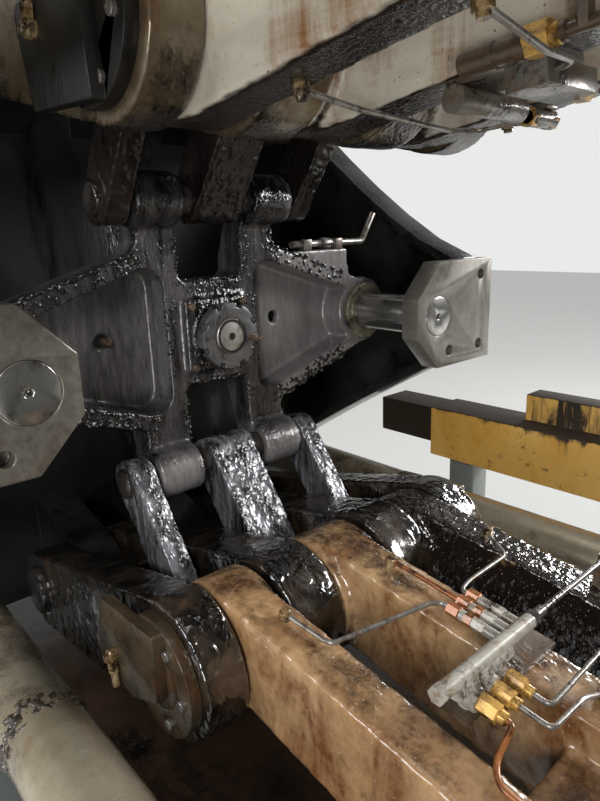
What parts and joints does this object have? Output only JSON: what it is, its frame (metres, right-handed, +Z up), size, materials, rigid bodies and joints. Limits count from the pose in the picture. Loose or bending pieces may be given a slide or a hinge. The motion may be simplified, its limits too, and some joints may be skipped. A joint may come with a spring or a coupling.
{
  "type": "die casting machine clamp unit",
  "caption": "Double toggle clamp of a die casting machine: platens on tie bars, a crosshead on guide rods, and links that push the moving platen.",
  "frame": {"origin": "on the floor, under the middle of the unit's bounding box", "axes": "+X forward along the machine from the clamp cylinder to the fixed platen, +Y across it to the side rail, +Z up"},
  "size_m": [3.58, 1.304, 1.6],
  "materials": {
    "frame_paint": "worn dark green-grey paint with oil film",
    "tray_metal": "oily dark steel",
    "platen_iron": "dark oily cast iron",
    "arm_steel": "grey steel, dark grease on the edges",
    "block_steel": "milled plate, satin",
    "bright_steel": "ground steel with an oil film",
    "dark_steel": "dark steel with black grease",
    "link_steel": "greasy dark steel",
    "pale_paint": "cream-grey paint with rust streaks",
    "rusty_steel": "rust-brown steel, wet with oil",
    "orange_paint": "orange-yellow paint with black oil runs",
    "zinc_block": "dull zinc, wet with oil",
    "copper_pipe": "copper pipe dulled by oil",
    "seal_brass": "dull greenish brass"
  },
  "bodies": {
    "frame": {"base_frame": "frame_paint", "oil_tray": "tray_metal", "levelling_feet": "frame_paint", "rear_platen": "platen_iron", "left_side_arm": "arm_steel", "right_side_arm": "arm_steel", "left_end_block": "block_steel", "right_end_block": "block_steel", "left_guide_rod": "bright_steel", "right_guide_rod": "bright_steel", "clamp_cylinder": "frame_paint", "rear_main_pins": "bright_steel", "upper_tie_bars": "bright_steel", "lower_tie_bars": "bright_steel", "tie_bar_nuts": "rusty_steel", "fixed_platen": "platen_iron", "side_rail": "orange_paint", "rail_brackets": "frame_paint"},
    "crosshead_unit": {"crosshead": "dark_steel", "guide_bushings": "seal_brass", "piston_rod": "bright_steel", "piston_nut": "dark_steel", "crosshead_pins": "bright_steel", "wing_oil_fitting": "zinc_block"},
    "upper_small_links": {"upper_wide_link": "link_steel", "upper_narrow_links": "link_steel"},
    "lower_small_links": {"lower_wide_link": "link_steel", "lower_narrow_links": "link_steel"},
    "upper_rear_link_unit": {"upper_rear_link": "link_steel", "upper_knee_pin": "bright_steel", "upper_small_pin": "bright_steel", "upper_pin_covers": "rusty_steel"},
    "lower_rear_link_unit": {"lower_rear_link": "link_steel", "lower_knee_pin": "bright_steel", "lower_small_pin": "bright_steel", "lower_pin_covers": "rusty_steel"},
    "upper_front_link_unit": {"upper_front_link": "pale_paint", "upper_oil_distributor": "zinc_block", "upper_oil_pipes": "copper_pipe"},
    "lower_front_link_unit": {"lower_front_link": "rusty_steel", "lower_oil_distributor": "zinc_block", "lower_oil_pipes": "copper_pipe"},
    "moving_platen_unit": {"moving_platen": "platen_iron", "front_main_pins": "bright_steel"}
  },
  "joints": [
    {"name": "crosshead_slide", "type": "slide", "parent": "frame", "child": "crosshead_unit", "axis": [1, 0, 0], "range_m": [-0.06, 0.02]},
    {"name": "upper_rear_link_swing", "type": "hinge", "parent": "frame", "child": "upper_rear_link_unit", "pos_m": [-0.67, -0.062, 1.492], "axis": [0, -1, 0], "range_deg": [-7.1, 2.4]},
    {"name": "upper_knee", "type": "hinge", "parent": "upper_rear_link_unit", "child": "upper_front_link_unit", "pos_m": [-0.162, -0.062, 1.388], "axis": [0, -1, 0], "range_deg": [-3.85, 11.5]},
    {"name": "upper_small_link_swing", "type": "hinge", "parent": "crosshead_unit", "child": "upper_small_links", "pos_m": [-0.444, -0.062, 1.232], "axis": [0, -1, 0], "range_deg": [-16.6, 5.55]},
    {"name": "lower_rear_link_swing", "type": "hinge", "parent": "frame", "child": "lower_rear_link_unit", "pos_m": [-0.67, -0.062, 0.508], "axis": [0, 1, 0], "range_deg": [-7.1, 2.4]},
    {"name": "lower_knee", "type": "hinge", "parent": "lower_rear_link_unit", "child": "lower_front_link_unit", "pos_m": [-0.162, -0.062, 0.612], "axis": [0, 1, 0], "range_deg": [-3.85, 11.5]},
    {"name": "lower_small_link_swing", "type": "hinge", "parent": "crosshead_unit", "child": "lower_small_links", "pos_m": [-0.444, -0.062, 0.768], "axis": [0, 1, 0], "range_deg": [-16.6, 5.55]},
    {"name": "moving_platen_slide", "type": "slide", "parent": "frame", "child": "moving_platen_unit", "axis": [1, 0, 0], "range_m": [-0.025, 0.0084]}
  ],
  "couplings": [
    {"joint": "upper_rear_link_swing", "follows": "crosshead_slide", "rad_per_m": 2.0508},
    {"joint": "upper_knee", "follows": "crosshead_slide", "rad_per_m": -3.3412},
    {"joint": "upper_small_link_swing", "follows": "crosshead_slide", "rad_per_m": 4.8225},
    {"joint": "lower_rear_link_swing", "follows": "crosshead_slide", "rad_per_m": 2.0508},
    {"joint": "lower_knee", "follows": "crosshead_slide", "rad_per_m": -3.3412},
    {"joint": "lower_small_link_swing", "follows": "crosshead_slide", "rad_per_m": 4.8225},
    {"joint": "moving_platen_slide", "follows": "crosshead_slide", "ratio": 0.4161}
  ]
}
